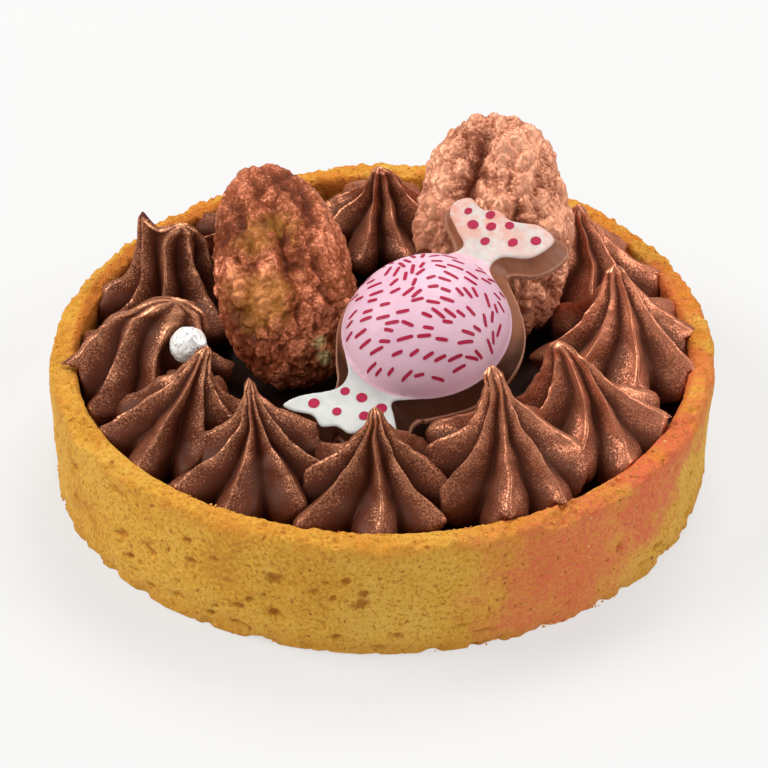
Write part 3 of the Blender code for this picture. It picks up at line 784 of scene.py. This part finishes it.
pecan_finishes = {
    "pecan_left": dusted_finish(
        "bronzed_sugared_pecan", (0.27, 0.062, 0.020), (0.66, 0.225, 0.120), 2600, 0.40, 0.18 * MM,
        ("proud", -0.34, 1.10), 0.6,
        stains_and_shade=(
            (OCHRE_PATCHES, 14 * MM, (0.46, 0.200, 0.030)), (BARE_KERNEL, 3 * MM, (0.60, 0.46, 0.20)),
        ),
    ),
    "pecan_right": dusted_finish(
        "coppered_sugared_pecan", (0.42, 0.132, 0.064), (0.80, 0.362, 0.220), 2400, 0.42, 0.18 * MM,
        ("proud", 0.08, 1.38), 0.5, stains_and_shade=((RIGHT_PECAN_PAINTED_SHADE, 12 * MM, (0.40, 0.130, 0.065)),),
    ),
}
for name, lower, upper, width, knobs, fineness, grooves in PECANS:
    length, standing = pecan_place(lower, upper)
    bm = bmesh.new()
    bmesh.ops.create_uvsphere(bm, u_segments=PECAN_STEPS, v_segments=PECAN_RINGS, radius=1.0)
    prouds = []
    for vert in bm.verts:
        seed = Vector((width / MM, 0, 3))
        vert.co, proud = pecan_skin(vert.co, length, width, knobs, fineness, grooves, seed)
        prouds.append(proud)
    bmesh.ops.transform(bm, matrix=standing, verts=bm.verts)
    nut = finish_mesh("sugared_" + name, bm, pecan_finishes[name], {"proud": prouds})
    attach(nut, "root")
    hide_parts(name)

# ------------------------------------------------------------------ moulded chocolate sweet
# A chocolate cast in a mould as a wrapped sweet: a domed oval body with a twisted wrapper end on both
# sides, brown at its sides and on the thin brim, its face printed pink with short dashes, and white
# with round dots on the ends.
SWEET_CENTRE = Vector((5.6, -8.7, 25.2)) * MM
SWEET_TILT = math.radians(20)
SWEET_TURN = math.radians(52)
SWEET_HALF_LENGTH = 11.8
SWEET_HALF_WIDTH = 10.9
SWEET_DOME = 7.2
SWEET_THICKNESS = 2.6
SIDE_DROP = 1.7
# The brim stands out all round by the first of these (mm), and at the low side by the second one more.
BRIM_WIDTH = 0.6
BRIM_RUN = 1.5
# The grid that the face is cut from: half its length and width (mm), and its steps.
GRID_REACH = (27.0, 15.0)
GRID_STEPS = (270, 150)
GRID_STEP = 0.28
# Each wrapper end in the face's plan (mm, X along the sweet): a twisted neck, then the gathered paper
# that fans out to two soft corners with a waved edge between them.
SWEET_TAILS = (
    (
        (-9.0, 3.6), (-12.4, 3.0), (-15.2, 3.0), (-18.9, 5.8), (-21.4, 6.6), (-21.4, 5.0), (-20.3, 2.6),
        (-20.9, 0.6), (-19.6, -0.9), (-19.4, -3.0), (-17.6, -4.2), (-17.0, -6.5), (-15.7, -7.6),
        (-13.7, -5.6), (-12.0, -3.8), (-9.0, -4.2),
    ),
    (
        (9.5, 4.9), (13.5, 4.6), (15.1, 6.9), (16.7, 9.4), (18.7, 10.2), (20.7, 9.0), (20.2, 6.4),
        (21.4, 4.7), (21.1, 2.5), (22.0, 0.6), (22.9, -1.3), (22.3, -4.2), (19.7, -4.3), (17.4, -3.3),
        (15.4, -0.6), (12.8, -0.3), (9.5, -1.6),
    ),
)
sweet_place = (
    Matrix.Translation(SWEET_CENTRE)
    @ Matrix.Rotation(SWEET_TILT, 4, "X")
    @ Matrix.Rotation(SWEET_TURN, 4, "Z")
    @ Matrix.Scale(MM, 4)
)


def rounded(corners, steps=5):
    """A closed smooth line through the corners of an outline."""
    line = []
    for i in range(len(corners)):
        p0, p1, p2, p3 = (np.array(corners[(i + offset) % len(corners)]) for offset in (-1, 0, 1, 2))
        for t in np.arange(steps) / steps:
            line.append(
                p1 + t * (p2 - p0) / 2 + t**2 * (p0 - 2.5 * p1 + 2 * p2 - p3 / 2)
                + t**3 * (-p0 / 2 + 1.5 * p1 - 1.5 * p2 + p3 / 2)
            )
    return np.array(line)


def outline_distance(points, outline):
    """Signed distance of plan points from a closed outline, negative inside."""
    nearest = np.full(len(points), 1e9)
    crossings = np.zeros(len(points), int)
    for start, end in zip(outline, np.roll(outline, -1, axis=0)):
        step = end - start
        share = np.clip(((points - start) @ step) / max(step @ step, 1e-12), 0, 1)
        nearest = np.minimum(nearest, np.hypot(*(points - start - share[:, None] * step).T))
        above = (start[1] > points[:, 1]) != (end[1] > points[:, 1])
        rise = step[1] if abs(step[1]) > 1e-12 else 1e-12
        left = points[:, 0] < start[0] + (points[:, 1] - start[1]) * step[0] / rise
        crossings += above & left
    return np.where(crossings % 2 == 1, -nearest, nearest)


def oval_share(points):
    """1 on the body's oval edge, less inside."""
    return np.hypot(points[:, 0] / SWEET_HALF_LENGTH, points[:, 1] / SWEET_HALF_WIDTH)


def face_distance(points, softness=2.2):
    """Signed distance (mm) from the edge of the sweet's face; softness rounds the necks."""
    nearest = (oval_share(points) - 1.0) * SWEET_HALF_WIDTH
    for corners in SWEET_TAILS:
        end = outline_distance(points, rounded(corners))
        share = np.clip(0.5 + (end - nearest) / (2 * softness), 0, 1)
        nearest = end + (nearest - end) * share - softness * share * (1 - share)
    return nearest


def brim_distance(points):
    """Signed distance (mm) from the brim's edge: it is widest at the low side, where chocolate ran."""
    softness = 4.5
    step = np.array((0.0, 0.1))
    fall = face_distance(points - step, softness) - face_distance(points + step, softness)
    low_side = np.clip(fall / (2 * step[1]), 0, 1)
    return face_distance(points, softness) - BRIM_WIDTH - BRIM_RUN * low_side


def face_height(points, edge):
    """Height (mm) of the cast: domed body, flat ends, rounded edge and a side that slopes to the brim."""
    oval = np.clip(oval_share(points) / 0.975, 0, 1)
    dome = SWEET_DOME * (1.0 - oval**2.2) ** 0.62
    rounded_edge = -0.2 * np.clip((edge + 0.25) / 0.25, 0, 1) ** 2
    out = np.clip(edge, 0, None)
    side = -SIDE_DROP * np.clip(out / np.maximum(out - brim_distance(points), 0.2), 0, 1) ** 0.75
    return dome + rounded_edge + side


def slopes(field, points, step=0.05):
    """How fast a field changes along both axes of the plan."""
    return tuple(
        (field(points + move) - field(points - move)) / (2 * step)
        for move in (np.array((step, 0.0)), np.array((0.0, step)))
    )


bm = bmesh.new()
bmesh.ops.create_grid(bm, x_segments=GRID_STEPS[0], y_segments=GRID_STEPS[1], size=1.0)
for vert in bm.verts:
    vert.co.x *= GRID_REACH[0]
    vert.co.y *= GRID_REACH[1]
plan = np.array([tuple(vert.co.xy) for vert in bm.verts])
outside = []
for vert, beyond, du, dv in zip(bm.verts[:], brim_distance(plan), *slopes(brim_distance, plan)):
    if beyond > GRID_STEP:
        outside.append(vert)
    elif beyond > 0:
        vert.co.xy -= Vector((du, dv)) / max(du * du + dv * dv, 0.1) * beyond
bmesh.ops.delete(bm, geom=outside, context="VERTS")
plan = np.array([tuple(vert.co.xy) for vert in bm.verts])
for vert, height in zip(bm.verts, face_height(plan, face_distance(plan))):
    vert.co.z = height + noise.noise(vert.co * 0.9) * 0.05
rim_edges = [e for e in bm.edges if e.is_boundary]
skirt = bmesh.ops.extrude_edge_only(bm, edges=rim_edges)["geom"]
for item in skirt:
    if isinstance(item, bmesh.types.BMVert):
        item.co.z = -SWEET_THICKNESS
bmesh.ops.holes_fill(bm, edges=[e for e in bm.edges if e.is_boundary], sides=0)
bmesh.ops.recalc_face_normals(bm, faces=bm.faces)
plan = np.array([tuple(vert.co.xy) for vert in bm.verts])
edges = face_distance(plan)
edges[[vert.co.z < -SWEET_THICKNESS + 0.01 for vert in bm.verts]] = 5.0
ovals = np.hypot((plan[:, 0] - 0.6) / (SWEET_HALF_LENGTH + 0.6), plan[:, 1] / SWEET_HALF_WIDTH)
brims = brim_distance(plan)
bmesh.ops.transform(bm, matrix=sweet_place, verts=bm.verts)

# Heights between which the brown sides are painted darker as shade, and the wrapper end's copper smudge
# begins.
PAINTED_SHADE_HEIGHTS = (25.0 * MM, 22.4 * MM)
SMUDGE_HEIGHTS = (27 * MM, 32 * MM)
SWEET_GLOSS = 0.30

sweet_finish, tree, shader = new_material("printed_chocolate", 0.42)
at = place(tree)
edge_layer = layer_of(tree, "edge")
oval_layer = layer_of(tree, "oval")
brown = blend(tree, mottle(tree, at, 400), (0.15, 0.045, 0.020), (0.42, 0.160, 0.080))
brim_layer = layer_of(tree, "brim")
height = node(tree, "ShaderNodeSeparateXYZ", Vector=at).outputs[2]
# Painted shade: the low sides, under the sweet, are painted nearly black and lose their gloss.
low_side = span(tree, height, *PAINTED_SHADE_HEIGHTS, 0.0, 0.88)
brown = blend(tree, low_side, brown, (0.022, 0.006, 0.003))
gloss = maths(tree, "SUBTRACT", SWEET_GLOSS, times(tree, low_side, SWEET_GLOSS))
tree.links.new(gloss, shader.inputs["Specular IOR Level"])
# Painted highlight: a lighter brown line along the edge of the brim.
painted_edge_highlight = span(tree, brim_layer, -0.28, -0.05, 0.0, 0.75)
brown = blend(tree, painted_edge_highlight, brown, (0.50, 0.25, 0.16))
pink = ramp(tree, mottle(tree, at, 90, 3), (0.35, (0.70, 0.430, 0.535)), (0.65, (0.77, 0.510, 0.595)))
white = ramp(tree, mottle(tree, at, 300, 4), (0.35, (0.53, 0.545, 0.52)), (0.6, (0.63, 0.64, 0.61)))
printed = blend(tree, span(tree, oval_layer, 1.005, 1.03), pink, white)
smudge = span(tree, mottle(tree, at, 260, 6, 0.75), 0.37, 0.56, 0.22, 1.0)
smudge = times(tree, smudge, span(tree, height, *SMUDGE_HEIGHTS))
smudge = times(tree, smudge, span(tree, oval_layer, 0.75, 1.15))
printed = blend(tree, smudge, printed, (0.68, 0.30, 0.22))
colour = blend(tree, span(tree, edge_layer, -0.10, 0.0), printed, brown)
dress(tree, shader, colour, bump(tree, mottle(tree, at, 1400, 3), 0.06 * MM, 0.4))

sweet_layers = {"edge": edges, "oval": ovals, "brim": brims}
sweet = finish_mesh("moulded_sweet", bm, sweet_finish, sweet_layers, sharp=55)
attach(sweet, "root")
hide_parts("sweet")

# The print's crimson dashes follow loose swirls over the dome, and a few round dots sit on each end.
DASH_COUNT = 105
DASH_TRIES = 6000
DASH_WIDTH = 0.52
# Half sizes (mm) of the oval that holds the dashes, and of the room that each one keeps free.
DASH_FIELD = (10.9, 10.0)
DASH_ROOM = (2.3, 0.95)
PRINT_LIFT = 0.04
CRIMSON = (0.42, 0.014, 0.060)
# Middles of the round dots on both ends, in the face's plan (mm).
DOTS = (
    (-18.8, 3.6), (-17.9, 0.5), (-14.8, 1.7), (-14.2, -0.6), (-13.9, -3.6), (-16.2, -2.6),
    (18.6, 7.7), (17.2, 5.8), (18.5, 3.7), (16.0, 2.8), (20.2, 1.9), (18.2, -0.2), (20.4, -2.4),
    (20.0, 5.0),
)


def dash_turn(u, v):
    """The swirl that the dashes follow, in the face's plan."""
    swirl = noise.noise(Vector((u * 0.11, v * 0.11, 4.0))) * 2.6
    return swirl - 0.75 + 0.06 * v


def face_at(points):
    """Height (mm) of the sweet's face at points of its plan."""
    return face_height(points, face_distance(points))


def conform(verts, lift):
    """Lays flat marks on the face of the sweet."""
    points = np.array([tuple(vert.co.xy) for vert in verts])
    for vert, height, du, dv in zip(verts, face_at(points), *slopes(face_at, points)):
        vert.co.z = height
        vert.co += Vector((-du, -dv, 1)).normalized() * lift


rng = random.Random(11)
dashes = []
tries = 0
while len(dashes) < DASH_COUNT and tries < DASH_TRIES:
    tries += 1
    u = rng.uniform(-11.0, 11.5)
    v = rng.uniform(-10.5, 10.5)
    if math.hypot(u / DASH_FIELD[0], v / DASH_FIELD[1]) > 1.0:
        continue
    turn = dash_turn(u, v) + rng.uniform(-0.25, 0.25)
    heading = Vector((math.cos(turn), math.sin(turn)))
    gaps = [Vector((u - a, v - b)) for a, b, *_ in dashes]
    apart = [(gap.dot(heading) / DASH_ROOM[0], heading.cross(gap) / DASH_ROOM[1]) for gap in gaps]
    if all(math.hypot(*share) > 1.0 for share in apart):
        dashes.append((u, v, turn, rng.uniform(1.3, 2.3)))
steepness = zip(*slopes(face_at, np.array([dash[:2] for dash in dashes])))
bm = bmesh.new()
for (u, v, turn, length), (du, dv) in zip(dashes, steepness):
    along = math.hypot(1.0, du * math.cos(turn) + dv * math.sin(turn))
    across = math.hypot(1.0, dv * math.cos(turn) - du * math.sin(turn))
    made = bmesh.ops.create_grid(bm, x_segments=6, y_segments=2, size=1.0)["verts"]
    for vert in made:
        vert.co.y *= DASH_WIDTH / 2 / across * (1.0 - 0.35 * vert.co.x**6)
        vert.co.x *= length / 2 / along
    bmesh.ops.rotate(bm, verts=made, cent=(0, 0, 0), matrix=Matrix.Rotation(turn, 3, "Z"))
    bmesh.ops.translate(bm, verts=made, vec=(u, v, 0))
for u, v in DOTS:
    wide = rng.uniform(0.60, 0.80)
    made = bmesh.ops.create_circle(bm, cap_ends=True, segments=16, radius=wide)["verts"]
    bmesh.ops.scale(bm, verts=made, vec=(1.0, rng.uniform(0.8, 1.0), 1.0))
    bmesh.ops.translate(bm, verts=made, vec=(u, v, 0))
conform(bm.verts[:], PRINT_LIFT)
bmesh.ops.recalc_face_normals(bm, faces=bm.faces)
bmesh.ops.transform(bm, matrix=sweet_place, verts=bm.verts)

print_finish, tree, shader = new_material("crimson_print", 0.5, 0.15)
at = place(tree)
colour = ramp(tree, mottle(tree, at, 700), (0.3, (0.35, 0.012, 0.045)), (0.7, CRIMSON))
tree.links.new(colour, shader.inputs["Base Color"])
marks = finish_mesh("sweet_print", bm, print_finish)
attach(marks, "root")

# ------------------------------------------------------------------ silvered sugar pearl
# A crisp sugar ball under silver dust, slightly faceted, with dark cracks where the coat has chipped.
PEARL_RADIUS = 2.5 * MM
PEARL_CENTRE = Vector((-25.6, -10.9, 22.8)) * MM

bm = bmesh.new()
bmesh.ops.create_icosphere(bm, subdivisions=6, radius=1.0)
chipped = []
for vert in bm.verts:
    cell = noise.voronoi(vert.co * 1.7 + Vector((2, 5, 1)))[0]
    facet = (cell[1] - cell[0]) * 0.10
    crack = max(0.0, 0.05 - abs(noise.noise(vert.co * 2.3 + Vector((4, 1, 0))))) * 2.0
    crack *= 1.0 if noise.noise(vert.co * 1.4 + Vector((9, 2, 4))) > 0.1 else 0.0
    vert.co *= PEARL_RADIUS * (0.97 + facet + noise.noise(vert.co * 4) * 0.02 - crack * 0.35)
    chipped.append(crack * 10)
bmesh.ops.translate(bm, verts=bm.verts, vec=PEARL_CENTRE)

pearl_finish, tree, shader = new_material("silvered_sugar", 0.38)
at = place(tree)
crack_layer = layer_of(tree, "chipped")
silver = ramp(tree, mottle(tree, at, 900, 4), (0.32, (0.55, 0.52, 0.48)), (0.50, (0.97, 0.96, 0.93)))
colour = blend(tree, span(tree, crack_layer, 0.2, 0.6), silver, (0.07, 0.05, 0.04))
shader.inputs["Metallic"].default_value = 0.25
dress(tree, shader, colour, bump(tree, mottle(tree, at, 1600, 4), 0.15 * MM, 0.6))

pearl = finish_mesh("silvered_pearl", bm, pearl_finish, {"chipped": chipped})
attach(pearl, "root")
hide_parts("silver_pearl")

# ------------------------------------------------------------------ table, light and view
# The tartlet stands on a plain white table under large soft lamps.
TABLE_RADIUS = 3.0
TABLE_DROP = 0.02 * MM
LAMP_DISTANCE = 0.9
LAMP_SIZE = 0.45
LAMP_AIM = Vector((0, 0, 0.015))

bm = bmesh.new()
bmesh.ops.create_circle(bm, cap_ends=True, segments=64, radius=TABLE_RADIUS)
bmesh.ops.translate(bm, verts=bm.verts, vec=(0, 0, -TABLE_DROP))
table_finish, tree, shader = new_material("white_table", 0.6, 0.1)
shader.inputs["Base Color"].default_value = (0.24, 0.24, 0.24, 1)
shader.inputs["Emission Color"].default_value = (1.0, 0.998, 0.99, 1)
shader.inputs["Emission Strength"].default_value = 0.60
table = finish_mesh("white_table", bm, table_finish)
table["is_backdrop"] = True

world = bpy.data.worlds.new("studio")
world.use_nodes = True
background = world.node_tree.nodes["Background"]
background.inputs["Color"].default_value = (1.0, 1.0, 1.0, 1)
background.inputs["Strength"].default_value = 0.25
bpy.context.scene.world = world


def softbox(name, azimuth, elevation, watts, colour):
    """A square lamp that looks at the tartlet; azimuth counts from the front, to the right."""
    lamp = bpy.data.lights.new(name, "AREA")
    lamp.shape = "SQUARE"
    lamp.size = LAMP_SIZE
    lamp.energy = watts
    lamp.color = colour
    turned = math.radians(azimuth)
    raised = math.radians(elevation)
    level = math.cos(raised)
    away = Vector((math.sin(turned) * level, -math.cos(turned) * level, math.sin(raised)))
    holder = bpy.data.objects.new(name, lamp)
    holder.location = LAMP_AIM + away * LAMP_DISTANCE
    holder.rotation_euler = away.to_track_quat("Z", "Y").to_euler()
    bpy.context.scene.collection.objects.link(holder)


softbox("key_lamp", -92, 42, 6.0, (1.0, 0.99, 0.975))
softbox("back_lamp", 165, 55, 4.8, (1.0, 0.995, 0.99))
softbox("fill_lamp", 88, 35, 3.3, (1.0, 0.99, 0.98))
softbox("front_lamp", -8, 16, 1.5, (1.0, 0.985, 0.965))

VIEW_ELEVATION = 0.616245
VIEW_DISTANCE = 0.400
VIEW_AIM = Vector((0.000159, -0.000464, 0.009974))
VIEW_ROLL = 0.02391
VIEW_LENS = 137.27
camera_data = bpy.data.cameras.new("view")
camera_data.sensor_width = 36.0
camera_data.lens = VIEW_LENS
camera_data.clip_start = 0.01
camera = bpy.data.objects.new("view", camera_data)
back = Vector((0, -math.cos(VIEW_ELEVATION), math.sin(VIEW_ELEVATION)))
camera.matrix_world = (
    Matrix.Translation(VIEW_AIM + back * VIEW_DISTANCE)
    @ Matrix.Rotation(math.pi / 2 - VIEW_ELEVATION, 4, "X")
    @ Matrix.Rotation(VIEW_ROLL, 4, "Z")
)
bpy.context.scene.collection.objects.link(camera)
bpy.context.scene.camera = camera
bpy.context.scene.view_settings.view_transform = "Standard"

low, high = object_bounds()
